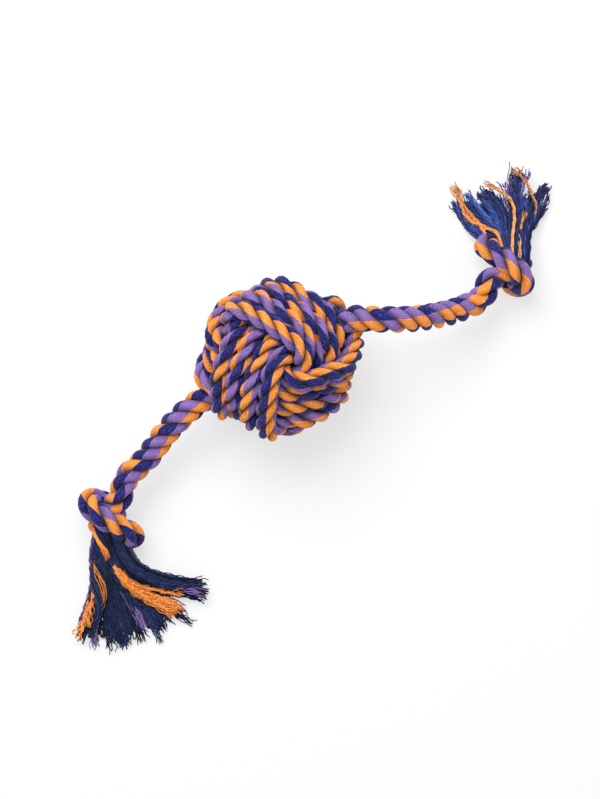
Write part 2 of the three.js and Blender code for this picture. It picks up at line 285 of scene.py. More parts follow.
def round_clear(radius):
    """How far out a cord lies whose flat facets stay clear of something round."""
    reach = radius + seat_gap + cord_diameter / 2
    return reach + facet_step ** 2 / (8 * reach)


inner_layer = round_clear(core_radius)
hole_radius = round_clear(squeezed_radius)


def clear_of_core(points):
    """The route pushed out of the core, and out of the hole that the handle rope runs through."""
    far = np.linalg.norm(points, axis=1)
    points = points * (np.maximum(far, inner_layer) / far)[:, None]
    on_line = (points @ exit_line)[:, None] * exit_line
    off = points - on_line
    return on_line + off * np.maximum(hole_radius / np.linalg.norm(off, axis=1), 1)[:, None]


def ball_axes():
    """The ball's three square axes. The handle rope runs along a corner line, and the next corner is on top.
    The sine and cosine between two such corner lines are those of a cube, the root of 8 over 3 and 1/3."""
    upright = np.array([-exit_line[2], 0, exit_line[0]])
    sine = math.sqrt(8) / 3
    level = np.array([0, 1, 0])
    top = exit_line / 3 + sine * math.cos(ball_roll) * upright + sine * math.sin(ball_roll) * level
    across = np.cross(top, exit_line)
    across = across / np.linalg.norm(across) * math.sqrt(0.5)
    half = (top + exit_line) * math.sqrt(3) / 4
    return [half + across, half - across, (top - exit_line) * math.sqrt(3) / 2]


def slack_winding():
    """Three bands of turns one after another. Each goes over the one before it and under the next."""
    axes = ball_axes()
    middle_layer = inner_layer + slack + cord_spacing / 2
    bands = []
    for band, (start, last) in enumerate(band_spans):
        end = last + 360 * turns_per_band
        share = np.linspace(0, 1, round((end - start) / slack_degrees) + 1)
        turn = np.radians(start + (end - start) * share)
        layer = np.tanh(layer_change * np.cos(2 * turn)) * cord_spacing / 2
        height = (share - 0.5) * (end - start) * cord_spacing / 360
        reach = np.sqrt((middle_layer + layer) ** 2 - height ** 2)
        outward, inward, across = (axes[(band + k) % 3] for k in range(3))
        bands.append(np.outer(reach * np.cos(turn), outward) + np.outer(reach * np.sin(turn), inward)
                     + np.outer(height, across))
    return np.concatenate(bands)


def eased(points, passes):
    """The route with its small kinks smoothed away, and its ends where they were."""
    for _ in range(passes):
        points = points.copy()
        points[1:-1] = (points[:-2] + 2 * points[1:-1] + points[2:]) / 4
    return points


nearly_upright = 0.9


def carried_frames(points):
    """The side and up at each point of a route, carried along without twisting about it."""
    along = np.gradient(points, axis=0)
    along /= np.linalg.norm(along, axis=1)[:, None]
    reference = [0.0, 0.0, 1.0] if abs(along[0][2]) < nearly_upright else [1.0, 0.0, 0.0]
    side = np.cross(reference, along[0])
    sides = []
    for here in along:
        side = side - here * (side @ here)
        side = side / np.linalg.norm(side)
        sides.append(side)
    sides = np.array(sides)
    return sides, np.cross(along, sides)


strand_count = 3


def laid_strands(points, radius, turn, width_share, depth_share, ring_sides):
    """Rings of three strands laid round a route, each point's angle about it, and its depth as a share."""
    side, up = carried_frames(points)
    width = (radius * width_share)[:, None]
    depth = (radius * depth_share)[:, None]
    ring_turn = np.radians(np.linspace(0, 360, ring_sides, endpoint=False))
    rings, angles, grooves = [], [], []
    for strand in range(strand_count):
        phase = (turn + full_turn * strand / strand_count)[:, None]
        outward = np.cos(phase) * side + np.sin(phase) * up
        middle = points + (radius[:, None] - depth) * outward
        forward = np.gradient(middle, axis=0)
        forward /= np.linalg.norm(forward, axis=1)[:, None]
        outward = outward - forward * (outward * forward).sum(axis=1)[:, None]
        outward /= np.linalg.norm(outward, axis=1)[:, None]
        sideways = np.cross(forward, outward)
        ring = middle[:, None] + (depth * np.cos(ring_turn))[..., None] * outward[:, None]
        ring = ring + (width * np.sin(ring_turn))[..., None] * sideways[:, None]
        off = ring - points[:, None]
        about = np.arctan2((off * up[:, None]).sum(axis=2), (off * side[:, None]).sum(axis=2))
        angles.append(phase + (about - phase + np.pi) % full_turn - np.pi)
        grooves.append(1 - np.linalg.norm(off, axis=2) / radius[:, None])
        rings.append(ring)
    return np.array(rings), np.array(angles), np.array(grooves)


purple = (0.23, 0.135, 0.39, 1)
orange = (0.88, 0.29, 0.045, 1)
lint = (0.07, 0.065, 0.09, 1)
lint_contrast = 3.6
stripe_stops = (
    (0.0, navy), (0.322, navy),
    (0.345, purple), (0.655, purple),
    (0.678, orange), (0.988, orange),
    (1.0, navy),
)
stripe_colours = 3
stripe_raggedness = 0.22
fibre_shade = 1.8
ridge_painted_shade = 0.18
patch_shade = 0.25
rope_darkening = 0.09
groove_painted_shade = 1.6
rope_relief = 0.45 * mm
ridge_height = 0.35
fibre_height = 0.65


def rope_finish(name, yarns_per_colour):
    """Cotton strands whose coloured yarns run almost along the rope, so that each colour makes a long stripe.
    The yarns stand up as ridges with painted shade between them, the grooves between strands are darkened
    with painted shade, and pale loose fibres lie over all."""
    finish = Finish(name)
    band = finish.node("ShaderNodeAttribute", {"attribute_name": "band"}, output="Fac")
    groove = finish.node("ShaderNodeAttribute", {"attribute_name": "groove"}, output="Fac")
    ragged = finish.noise(scale=300, detail=2)
    fibre = finish.noise(scale=1300, detail=4)
    patch = finish.noise(scale=60, detail=1)
    loose_fibre = finish.noise(scale=900, detail=3)
    stripe = ((band + stripe_raggedness * (ragged - 0.5)) * (1 / stripe_colours)).fraction()
    colour = finish.node("ShaderNodeValToRGB", {"stops": stripe_stops}, {"Fac": stripe})
    yarn = (band * yarns_per_colour).fraction() - 0.5
    ridge = 1 - 4 * (yarn * yarn)
    # Painted shade: the colour is darker between the yarns, by the ridge, and much darker deep in the grooves
    # between the strands
    shade = fibre_shade * fibre + ridge_painted_shade * ridge + patch_shade * patch - rope_darkening
    colour = finish.shaded(colour, shade * (1 - groove * groove_painted_shade))
    colour = finish.mixed("ADD", lint_contrast * (loose_fibre - 0.5), colour, lint)
    return finish.cotton(colour, ridge_height * ridge + fibre_height * fibre, rope_relief)


winding_radius = 5.8 * mm
winding_lay = 32 * mm
winding_step = 2 * mm
winding_easing = 3
winding_strand = {"width_share": 0.445, "depth_share": 0.465, "ring_sides": 14}
floor_clear = 0.1 * mm

# Six stripes go round the rope. The third strand is laid one stripe behind the others.
colours_per_turn = 6
strand_shift = np.array([0, 0, -1])

# Places on the three cords that meet at the top corner, from the ball's centre in mm, and the stripe on their
# outer line. The cord's own start has the first stripe.
corner_cords = (((6.1, 17.0, 44.7), 2.5), ((8.0, -18.0, 40.0), 3.5), ((-10.7, -10.0, 46.3), 6.2))
first_stripe = 0.5
even_stretch = 90 * mm


def winding_stripes(route, along, angles):
    """The stripe at each ring point. Each colour keeps its place on the ball's outside for a few turns."""
    side, up = carried_frames(route)
    outward = route - ball_centre
    outer_line = np.unwrap(np.arctan2((outward * up).sum(axis=1), (outward * side).sum(axis=1)))
    nearest = [np.linalg.norm(outward - np.array(place) * mm, axis=1).argmin() for place, _ in corner_cords]
    places = along[nearest]
    stripes = [stripe for _, stripe in corner_cords]
    middle_stripe = np.interp(along, [0, *places], [first_stripe, *stripes])
    even = sum(np.exp(-((along - place) / even_stretch) ** 4) for place in places)
    shift = strand_shift[:, None] * (1 - even)
    stripe = (outer_line[:, None] - angles) * colours_per_turn / full_turn
    return stripe + (middle_stripe + shift)[..., None]


def make_winding():
    route = settled(slack_winding(), cord_spacing, clear_of_core) + ball_centre
    route = spaced(eased(spaced(route, winding_step), winding_easing), winding_step)
    along = np.arange(len(route)) * winding_step
    radius = np.full(len(route), winding_radius)
    turn = full_turn * along / winding_lay
    rings, angles, grooves = laid_strands(route, radius, turn, **winding_strand)
    rings[..., 2] = np.maximum(rings[..., 2], floor_clear)
    band = winding_stripes(route, along, angles)
    finish = rope_finish("winding rope", yarns_per_colour=3)
    return make_piece("ball_winding_rope", *tubes(rings), finish, {"band": band, "groove": grooves})


winding = make_winding()
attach(winding, "ball")
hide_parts("ball_winding")


# Handle rope
# One thick three-strand cotton rope that runs through the ball from corner to corner. Each arm bends down to
# the floor and is tied in an overhand knot. It is cut here at the middle of each length, so that every piece
# holds one joint.

rope_radius = 7.5 * mm
rope_lay = 28.5 * mm
rope_step = 1.2 * mm
rope_drift = math.radians(0.9) / mm
rope_easing = 8
rope_strand = {"width_share": 0.43, "depth_share": 0.455, "ring_sides": 20}
exit_gap = 2.4 * mm
exit_reach = inner_layer + cord_spacing + exit_gap + rope_radius
tail_radius = 2.5 * mm
tail_drop = 7 * mm
tassel_reach = 20 * mm
joints = {joint["name"]: np.array(joint["pos_m"]) for joint in frame["joints"]}

# The knots start as a loose overhand knot, which is drawn tight as a thinner rope, pushed shorter and wider,
# and shown in thicker rope. The last points at the tassel are left to the yarns.
loose_reach = 2.1
loose_points = 121
loose_size = 7
knot_rope_radius = 5.5 * mm
knot_shown_radius = 7 * mm
knot_lay = 32 * mm
knot_half_length = 25 * mm
knot_push = np.array([0.64, 1.15, 1])
knot_pushed_to = 8 * mm
knot_shift = 3 * mm
bend_gap = 0.6 * mm
flat_share = 0.1
opened_points = 4

# Each arm: its direction along the rope, the points of its route and the middle of its knot, in mm across
# from the ball's centre and up from the floor, and the directions in which the rope enters and leaves the
# knot
arms = {
    "left": {
        "heading": -1,
        "route": ((-62, -2.5, 31.5), (-78, -7.5, 27.5), (-93, -14.5, 24.5)),
        "knot": (-130.4, -32.8),
        "entry": math.radians(213),
        "exit": math.radians(243.7),
    },
    "right": {
        "heading": 1,
        "route": ((60, -9, 58.5), (76, -17, 52), (93, -22.5, 38), (105, -24.5, 28)),
        "knot": (141.1, -15.9),
        "entry": math.radians(21),
        "exit": math.radians(63.7),
    },
}


def overhand_knot(arm):
    """The knot's route from the arm's last bend to the tassel's bend, drawn tight and laid on the floor."""
    heading = (arm["entry"] + arm["exit"]) / 2
    swing = (arm["exit"] - arm["entry"]) / 2
    start = np.array([-math.cos(swing), math.sin(swing), 0]) * knot_half_length
    end = np.array([math.cos(swing), math.sin(swing), 0]) * tassel_reach
    end[2] = -tail_drop
    t = np.linspace(-loose_reach, loose_reach, loose_points)
    loose = np.stack([t ** 3 - 3 * t, (t ** 5 - 10 * t) / 5, t ** 4 - 4 * t ** 2 + 1], axis=1)
    loose = loose * loose_size * mm
    x, y = loose[-1][:2] / np.linalg.norm(loose[-1][:2])
    loose = loose @ np.array([[x, y, 0], [y, -x, 0], [0, 0, 1]])
    slack_route = np.concatenate([[start], loose, [end]])
    route = settled(slack_route, 2 * knot_rope_radius + bend_gap, lambda points: points)
    pushed_to = np.array([knot_pushed_to, end[1], 0])
    route = pushed_to + (route - pushed_to) * knot_push
    route[:, 1] += knot_shift * np.sin(np.linspace(0, np.pi, len(route)))
    cosine, sine = math.cos(heading), math.sin(heading)
    placed = route @ np.array([[cosine, sine, 0], [-sine, cosine, 0], [0, 0, 1]])
    placed[:, 2] += knot_rope_radius * (1 - 2 * flat_share) - placed[:, 2].min()
    placed[:, :2] += np.array(arm["knot"]) * mm + ball_centre[:2]
    return placed


def through(points, steps=24):
    """A smooth curve through a few points."""
    ends = np.concatenate([[2 * points[0] - points[1]], points, [2 * points[-1] - points[-2]]])
    t = np.linspace(0, 1, steps, endpoint=False)[:, None]
    curve = []
    for a, b, c, d in zip(ends, ends[1:], ends[2:], ends[3:]):
        curve.append(0.5 * (2 * b + (c - a) * t + (2 * a - 5 * b + 4 * c - d) * t ** 2
                            + (3 * b - a - 3 * c + d) * t ** 3))
    return np.concatenate([*curve, [points[-1]]])


def side_route(arm, last_bend):
    """From the middle of the ball out along one arm and through its knot to the start of the tassel."""
    first_bend = ball_centre + exit_line * arm["heading"] * exit_reach
    chosen = np.array(arm["route"]) * mm + [ball_centre[0], ball_centre[1], 0]
    knot = overhand_knot(arm)
    free = through(np.concatenate([[first_bend], chosen, [last_bend], knot[:1]]))
    return np.concatenate([[ball_centre], free[:-1], knot[:-opened_points]])


left_route = side_route(arms["left"], joints["left_knot_swing"])
right_route = side_route(arms["right"], joints["right_knot_lift"])
handle_route = spaced(np.concatenate([left_route[::-1], right_route[1:]]), rope_step)
handle_route = spaced(eased(handle_route, rope_easing), rope_step)
handle_along = np.arange(len(handle_route)) * rope_step


def ring_at(place):
    return int(np.linalg.norm(handle_route - place, axis=1).argmin())


bend_rings = {name: ring_at(place) for name, place in joints.items()}
inside_ball = ring_at(ball_centre)
last_ring = len(handle_route) - 1

# The stripe on top of each arm at one of its bends
top_stripes = (
    ("left_mid_lift", 1.5, slice(0, inside_ball)),
    ("right_mid_lift", 2.0, slice(inside_ball, None)),
)


def smooth(share):
    share = np.clip(share, 0, 1)
    return share * share * (3 - 2 * share)


def handle_strands():
    """The whole handle rope: its strand rings, and the stripe and depth that each ring point has."""
    rings = np.arange(len(handle_route))
    taper = round(2 * rope_radius / rope_step)
    left_knot, right_knot = bend_rings["left_knot_swing"], bend_rings["right_knot_lift"]
    knot_ends = [left_knot - taper, left_knot, right_knot, right_knot + taper]
    radius = np.interp(
        rings,
        [0, taper, *knot_ends, last_ring - taper, last_ring],
        [tail_radius, knot_shown_radius, knot_shown_radius, rope_radius,
         rope_radius, knot_shown_radius, knot_shown_radius, tail_radius],
    )
    lay = np.interp(rings, knot_ends, [knot_lay, rope_lay, rope_lay, knot_lay])
    turn = np.cumsum(full_turn * rope_step / lay)
    strands, angles, grooves = laid_strands(handle_route, radius, turn, **rope_strand)
    strands[..., 2] = np.maximum(strands[..., 2], floor_clear)
    band = (angles + rope_drift * handle_along[:, None]) * colours_per_turn / full_turn
    band = band + strand_shift[:, None, None]
    side, up = carried_frames(handle_route)
    for place, stripe, part in top_stripes:
        ring = bend_rings[place]
        top = math.atan2(up[ring][2], side[ring][2]) + rope_drift * handle_along[ring]
        band[:, part] += stripe - top * colours_per_turn / full_turn
    band -= smooth((left_knot - rings) / (2 * taper))[:, None]
    return strands, band, grooves


def ring_normals(rings):
    """The way that each ring point faces, so that a strand's shading runs on across a cut."""
    around = np.roll(rings, -1, axis=2) - np.roll(rings, 1, axis=2)
    facing = np.cross(around, np.gradient(rings, axis=1))
    return facing / np.linalg.norm(facing, axis=3)[..., None]


handle_rings, handle_band, handle_groove = handle_strands()
handle_normals = ring_normals(handle_rings)
handle_finish = rope_finish("handle rope", yarns_per_colour=5)


def make_rope(name, first, last):
    """One cut of the handle rope between two rings."""
    part = slice(first, last + 1)
    attributes = {"band": handle_band[:, part], "groove": handle_groove[:, part]}
    return make_piece(name, *tubes(handle_rings[:, part]), handle_finish, attributes, handle_normals[:, part])


def strand_nodes(length):
    return [f"{length}_strand_{n + 1}" for n in range(strand_count)]


heading_rings = 3


def bend_rope(piece, joint):
    """Works out the rope's heading at the joint, which nothing uses, and bakes the piece's place into its
    mesh.
    """
    ring = bend_rings[joint]
    ahead = handle_route[ring + heading_rings] - handle_route[ring - heading_rings]
    ahead = ahead / np.linalg.norm(ahead)
    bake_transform(piece)


def between(first, second):
    return (bend_rings[first] + bend_rings[second]) // 2


left_knot_cut = between("left_knot_swing", "left_mid_lift")
left_arm_cut = between("left_mid_lift", "left_exit_swing")
right_arm_cut = between("right_exit_swing", "right_mid_lift")
right_fall_cut = between("right_mid_lift", "right_mid_swing")
right_knot_cut = between("right_mid_swing", "right_knot_lift")

left_knot_rope = make_rope("left_knot_rope", 0, left_knot_cut)
bend_rope(left_knot_rope, "left_knot_swing")
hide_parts("left_knot")

left_arm_rope = make_rope("left_arm_rope", left_knot_cut, left_arm_cut)
bend_rope(left_arm_rope, "left_mid_lift")
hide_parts(*strand_nodes("left_arm_2"))

left_exit_rope = make_rope("left_exit_rope", left_arm_cut, inside_ball)
bend_rope(left_exit_rope, "left_exit_swing")
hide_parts("handle_rope_centre", *strand_nodes("left_arm_1"))

right_exit_rope = make_rope("right_exit_rope", inside_ball, right_arm_cut)
bend_rope(right_exit_rope, "right_exit_swing")
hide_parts(*strand_nodes("right_arm_1"))

right_rise_rope = make_rope("right_rise_rope", right_arm_cut, right_fall_cut)
bend_rope(right_rise_rope, "right_mid_lift")
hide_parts(*strand_nodes("right_arm_2"))

right_fall_rope = make_rope("right_fall_rope", right_fall_cut, right_knot_cut)
bend_rope(right_fall_rope, "right_mid_swing")
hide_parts(*strand_nodes("right_arm_3"))

right_knot_rope = make_rope("right_knot_rope", right_knot_cut, last_ring)
bend_rope(right_knot_rope, "right_knot_lift")
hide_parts("right_knot")


# Tassels
# The handle rope's ends, cut and combed out past the knots. The loose cotton yarns keep together in locks,
# most of them navy, which lie over one another, are crimped from having been twisted, and fray at their
# cut ends.

yarns_per_wisp = 10
yarn_radius = 0.5 * mm
yarn_taper = 0.3
yarn_rings = 27
yarn_sides = 3
yarn_relief = 0.4 * mm
tassel_seeds = {"left": 7, "right": 11}

# Ranges that a wisp or a yarn is drawn from: lengths as shares of the lock's, thickness as a share of the
# radius, and crimp, sway and fray in mm
wisp_lengths = (0.84, 1.0)
yarn_lengths = (0.92, 1.0)
yarn_thicknesses = (0.75, 1.1)
crimp_sizes = (0.3, 0.8)
crimp_waves = (5.5, 9)
sway_sizes = (0.2, 1.3)
sway_waves = (22, 40)
fray_size = 1.4
fray_lift = 0.5

# A lock's shape. As shares of its length, where it has come down, where its tip starts to rise, where its
# wisps start to gather into points and where they fray. Then how far they gather, how far a twisted lock gets
# thinner, and the most in mm that an untwisted one is thick.
down_at = 0.65
tip_from = 0.6
gather_from = 0.5
fray_from = 0.75
wisp_gather = 0.35
twisted_taper = 0.6
most_thick = 3

# Tints are places on the ramp of yarn colours. A yarn's shade varies at random by its wisp and by itself, and
# with painted shade and light by its height in its lock
dark_navy = (0.010, 0.014, 0.075, 1)
pale_navy = (0.030, 0.058, 0.21, 1)
peach = (0.80, 0.40, 0.17, 1)
yarn_stops = (
    (0.0, dark_navy), (0.32, pale_navy),
    (0.34, purple), (0.65, purple),
    (0.67, orange), (0.8, orange),
    (1.0, peach),
)
lock_tints = {
    "left": {"navy": (0.0, 0.32), "purple": (0.4, 0.6), "orange": (0.67, 0.88)},
    "right": {"navy": (0.0, 0.32), "purple": (0.4, 0.6), "orange": (0.8, 1.0)},
}
# Each side's mean shade of each colour. The same navy yarn is painted much paler in the right tassel, as
# painted light, and darker in the left, as painted shade
lock_tones_and_painted_light = {
    "left": {"navy": 0.7, "purple": 1.1, "orange": 1.15},
    "right": {"navy": 1.95, "purple": 1.1, "orange": 1.1},
}
shade_spreads = {"navy": 0.55, "purple": 0.15, "orange": 0.15}
fluff_shade = 2.0
yarn_fibre_shade = 0.8
yarn_darkening = 0.4
# Painted shade and light: a yarn low in its lock is darker, and one on top of it lighter
painted_shade_middle = 0.75
painted_shade_by_height = 0.45

# A mixed lock is navy, with orange yarns between these two angles about its middle and out from that share
orange_angles = (0.75, 1.65)
orange_from = 0.4

# Each lock: its colour, number of wisps, half its width where it leaves the knot and at its tip, its height
# over the tail where it leaves the knot, and over the floor half-way and at its tip, the turns left in it,
# and its path in mm: ahead of the tail's bend and across
lock_tables = {
    "left": (
        ("navy", 10, (4, 12), (-3, 0, 0), 0, ((-16, -1), (6, -2), (24, -3), (42, -4), (57, -4))),
        ("navy", 10, (4, 15), (-3, 0, 0), 0, ((-16, 3), (6, 5), (22, 12), (38, 24), (51, 31))),
        ("navy", 6, (2, 4), (-2, 1, 1), 0, ((-16, 0), (6, 1), (24, 1), (44, 4), (60, 7))),
        ("navy", 9, (3, 9), (-3, 1, 1), 0, ((-16, 3), (6, 6), (19, 15), (31, 29), (46, 49))),
        ("navy", 11, (4, 9), (-1, 2, 2), 0, ((-16, 2), (5, 3), (20, 5), (41, 11), (57, 16))),
        ("navy", 11, (4, 9), (-1, 2, 2), 0, ((-16, 3), (6, 5), (20, 10), (36, 22), (53, 33))),
        ("purple", 2, (2, 5), (-3, 1, 8), 0, ((-16, 2), (5, 4), (20, 7), (42, 17), (59, 22))),
        ("purple", 1, (1, 2.5), (-3, 1, 3), 0, ((-16, -3), (6, -5), (24, -6), (42, -9), (58, -13))),
        ("navy", 9, (4, 7), (0, 2, 2), 0, ((-16, -1), (5, -2), (20, -2), (40, -2), (62, 1))),
        ("purple", 1, (1, 2), (3, 6, 4), 0, ((-18, -5), (-1, -9), (11, -10), (25, -12), (46, -19))),
        ("mixed", 16, (5.5, 7), (2, 6, 4), -2.7,
         ((-18, -2), (-3, -4), (11, -5), (26, -7), (40, -12), (54, -20))),
        ("orange", 1, (0.5, 2.5), (-10, 9, 8), 0, ((16, -8), (27, -10), (36, -12), (45, -13))),
        ("navy", 12, (5, 6), (3, 6, 4.5), 0, ((-18, 4), (0, 9), (11, 16), (19, 30), (22, 46), (24, 59))),
        ("navy", 10, (4, 9), (-1, 2, 3), 0, ((-18, 5), (2, 9), (13, 17), (21, 32), (29, 57))),
        ("orange", 5, (0.4, 8), (-7, 5, 7), 0, ((4, 1), (11, 4), (19, 10), (28, 22), (34, 35), (38, 42))),
        ("orange", 1, (1, 1.5), (-8, 7, 9), 0, ((10, 6), (19, 14), (24, 28), (27, 43))),
        ("navy", 2, (1, 2), (-4, 6, 5), 0, ((0, 1), (11, 2), (23, 8), (31, 15), (34, 20))),
        ("purple", 1, (2, 4), (-2, 1, 9), 0, ((-16, 6), (12, 18), (22, 35), (27, 57))),
    ),
    "right": (
        ("navy", 12, (6, 14), (-4, 1, 1), 0, ((-18, 3), (0, 7), (12, 10), (22, 14))),
        ("navy", 9, (6, 12), (-4, 1, 1), 0, ((-18, -4), (0, -7), (12, -10), (24, -14))),
        ("navy", 5, (5, 3), (-2, 3, 3), 0, ((-17, 7), (-4, 14), (4, 21), (12, 26), (20, 33))),
        ("navy", 7, (5, 5), (0, 3, 3), 0, ((-20, 5), (0, 9), (10, 15), (18, 21), (24, 27))),
        ("orange", 1, (1, 1.2), (4, 7, 6.5), 0, ((-18, 4), (-2, 6), (3, 13), (9, 23), (18, 26), (30, 31))),
        ("orange", 1, (0.7, 0.8), (2, 6.5, 6), 0, ((-16, 6), (3, 15), (10, 20), (17, 24), (28, 29))),
        ("navy", 14, (6, 6), (3, 7, 6), 0, ((-20, 2), (-2, 3), (9, 4), (18, 9), (26, 19))),
        ("purple", 1, (2, 3), (0, 4, 8), 0, ((-20, 0), (0, 0), (10, 0), (24, 0), (31, 3))),
        ("navy", 10, (5, 5), (2, 5, 4), 0, ((-20, -3), (-2, -5), (11, -7), (21, -6), (31, -7), (37, -11))),
        ("purple", 1, (1, 2), (0, 3, 9), 0, ((-20, -4), (0, -7), (9, -8), (23, -10), (38, -13))),
        ("navy", 9, (5, 5), (1, 5, 4), 0, ((-20, -6), (-2, -9), (8, -15), (19, -20), (28, -28))),
        ("navy", 4, (3, 3), (-2, 3, 3), 0, ((-20, -6), (-4, -9), (4, -14), (10, -20), (16, -26))),
        ("navy", 5, (4, 4), (-1, 2, 2), 0, ((-20, -5), (0, -9), (12, -13), (24, -16))),
        ("orange", 1, (0.6, 0.8), (-13, 8, 9), 0, ((5, -14), (14, -18), (22, -15), (28, -11), (37, -6))),
        ("orange", 1, (1, 1), (4, 10, 10), 0, ((-18, -1), (-5, -2), (7, -4), (17, -3), (24, 4), (29, 13))),
        ("orange", 1, (0.8, 0.5), (6, 12, 7), 0, ((-18, -5), (-3, -7), (4, -9), (12, -11))),
    ),
}


def yarn_finish():
    finish = Finish("tassel yarn")
    tint = finish.node("ShaderNodeAttribute", {"attribute_name": "tint"}, output="Fac")
    shade = finish.node("ShaderNodeAttribute", {"attribute_name": "shade"}, output="Fac")
    fibre = finish.noise(scale=2600, detail=3)
    fluff = finish.noise(scale=800, detail=2)
    colour = finish.node("ShaderNodeValToRGB", {"stops": yarn_stops}, {"Fac": tint})
    mottle = fluff_shade * fluff + yarn_fibre_shade * fibre - yarn_darkening
    return finish.cotton(finish.shaded(colour, shade * mottle), fibre + fluff, yarn_relief)


def lock_line(arm, path):
    """A lock's path as points on the floor, from the tassel's bend, and how far along it each point is."""
    ahead = np.array([math.cos(arm["exit"]), math.sin(arm["exit"])])
    across = np.array([-ahead[1], ahead[0]])
    flat = np.array(path) @ np.array([ahead, across]) * mm
    line = through(np.column_stack([flat, np.zeros(len(flat))]))
    return line, np.concatenate([[0], np.cumsum(np.linalg.norm(np.diff(line, axis=0), axis=1))])


def draw_wisp(draw, wisps):
    """Where one wisp lies in its lock, how long and how dark it is, and how it sways from side to side."""
    return {
        "turn": draw.uniform(0, full_turn),
        "out": (1 - 1 / math.sqrt(wisps)) * math.sqrt(draw.uniform(0, 1)),
        "length": 1 if wisps == 1 else draw.uniform(*wisp_lengths),
        "shade": draw.uniform(-1, 1),
        "sway": draw.uniform(*sway_sizes),
        "sway_wave": draw.uniform(*sway_waves),
        "sway_start": draw.uniform(0, 1),
    }


def draw_yarn(draw, wisps):
    """Where one yarn lies in its wisp, and its length, crimp, frayed end, thickness and colour."""
    return {
        "length": draw.uniform(*yarn_lengths),
        "turn": draw.uniform(0, full_turn),
        "out": 1 / math.sqrt(wisps) * math.sqrt(draw.uniform(0, 1)),
        "crimp": draw.uniform(*crimp_sizes),
        "crimp_wave": draw.uniform(*crimp_waves),
        "crimp_start": draw.uniform(0, 1),
        "fray": draw.normal(0, fray_size),
        "thickness": draw.uniform(*yarn_thicknesses),
        "tint": draw.uniform(0, 1),
        "shade": draw.uniform(-1, 1),
    }


def place_in_lock(wisp, yarn, turns, share):
    """How far across and how far up in its lock a yarn lies along its length, each from -1 to 1."""
    gathered = yarn["out"] * (1 - wisp_gather * smooth((share - gather_from) / (1 - gather_from)))
    twist = full_turn * turns * (share - share ** 2 / 2)
    level = wisp["out"] * np.cos(wisp["turn"] + twist) + gathered * np.cos(yarn["turn"] + twist)
    upward = wisp["out"] * np.sin(wisp["turn"] + twist) + gathered * np.sin(yarn["turn"] + twist)
    return level, upward


def lock_height(bend, heights, share):
    """The height of a lock's middle: down from the tail to its height half-way, and on to that of its tip."""
    root, half_way, tip = heights
    start = bend[2] + root * mm
    low = yarn_radius + half_way * mm
    height = start + (low - start) * smooth(share / down_at)
    return height + (tip - half_way) * mm * smooth((share - tip_from) / (1 - tip_from))


def yarn_route(line, legs, bend, lock, wisp, yarn, share):
    """The middle line of one yarn, and how far across and up in its lock it lies."""
    _, _, (root_half, tip_half), heights, turns, _ = lock
    at = share * legs[-1]
    place = np.stack([np.interp(at, legs, line[:, k]) for k in range(3)], axis=1)
    heading = np.gradient(place, axis=0)
    sideways = np.stack([-heading[:, 1], heading[:, 0]], axis=1)
    sideways /= np.linalg.norm(sideways, axis=1)[:, None]

    level, upward = place_in_lock(wisp, yarn, turns, share)
    half = root_half + (tip_half - root_half) * share
    thick = half * (1 - twisted_taper * share) if turns else np.minimum(half, most_thick - share)
    crimp = yarn["crimp"] * np.sqrt(share)
    crimp_turn = full_turn * (at / (yarn["crimp_wave"] * mm) + yarn["crimp_start"])
    sway_turn = full_turn * (at / (wisp["sway_wave"] * mm) + wisp["sway_start"])
    sway = wisp["sway"] * share * np.sin(sway_turn)
    fray = yarn["fray"] * smooth((share - fray_from) / (1 - fray_from))
    off = level * half + crimp * np.sin(crimp_turn) + sway + fray
    lift = upward * thick + crimp * np.cos(crimp_turn) + fray_lift * abs(fray)
    place[:, :2] += bend[:2] + sideways * off[:, None] * mm
    place[:, 2] = np.maximum(lock_height(bend, heights, share) + lift * mm, yarn_radius + floor_clear)
    return place, level, upward


def yarn_tube(place, thickness, share):
    """The rings round a yarn's middle line, which get smaller to its end."""
    ring_turn = np.radians(np.linspace(0, 360, yarn_sides, endpoint=False))[:, None]
    side, up = carried_frames(place)
    radius = yarn_radius * thickness * (1 - yarn_taper * share)[:, None, None]
    return place[:, None] + radius * (np.cos(ring_turn) * side[:, None] + np.sin(ring_turn) * up[:, None])


def yarn_colour(lock_colour, level, upward):
    if lock_colour != "mixed":
        return lock_colour
    low, high = orange_angles
    orange_yarn = low < math.atan2(upward, level) % np.pi < high and math.hypot(upward, level) > orange_from
    return "orange" if orange_yarn else "navy"


def lock_yarns(draw, side_name, bend, lock):
    """The rings of one lock's yarns, with their tints and shades. They hang together in wisps."""
    lock_colour, wisps, _, _, _, path = lock
    line, legs = lock_line(arms[side_name], path)
    yarns, tints, shades = [], [], []
    for number in range(wisps * yarns_per_wisp):
        if number % yarns_per_wisp == 0:
            wisp = draw_wisp(draw, wisps)
        yarn = draw_yarn(draw, wisps)
        share = np.linspace(0, wisp["length"] * yarn["length"], yarn_rings)
        place, level, upward = yarn_route(line, legs, bend, lock, wisp, yarn, share)
        yarns.append(yarn_tube(place, yarn["thickness"], share))
        colour = yarn_colour(lock_colour, level[0], upward[0])
        low, high = lock_tints[side_name][colour]
        tints.append(low + (high - low) * yarn["tint"])
        spread = shade_spreads[colour]
        shade = lock_tones_and_painted_light[side_name][colour] * (1 + spread * wisp["shade"]) * (1 + spread * yarn["shade"])
        # Painted shade and light by height in the lock: darker underneath, lighter on top
        shades.append(shade * (painted_shade_middle + painted_shade_by_height * upward))
    return yarns, tints, shades


# The map that an export bakes the yarns' colours to, in which every yarn is a strip beside its neighbours.
# Left to itself, an export would mix up the colours of such thin pieces.
bake_map = "OFBake"
strips_across = 3.5
strip_fill = 0.9


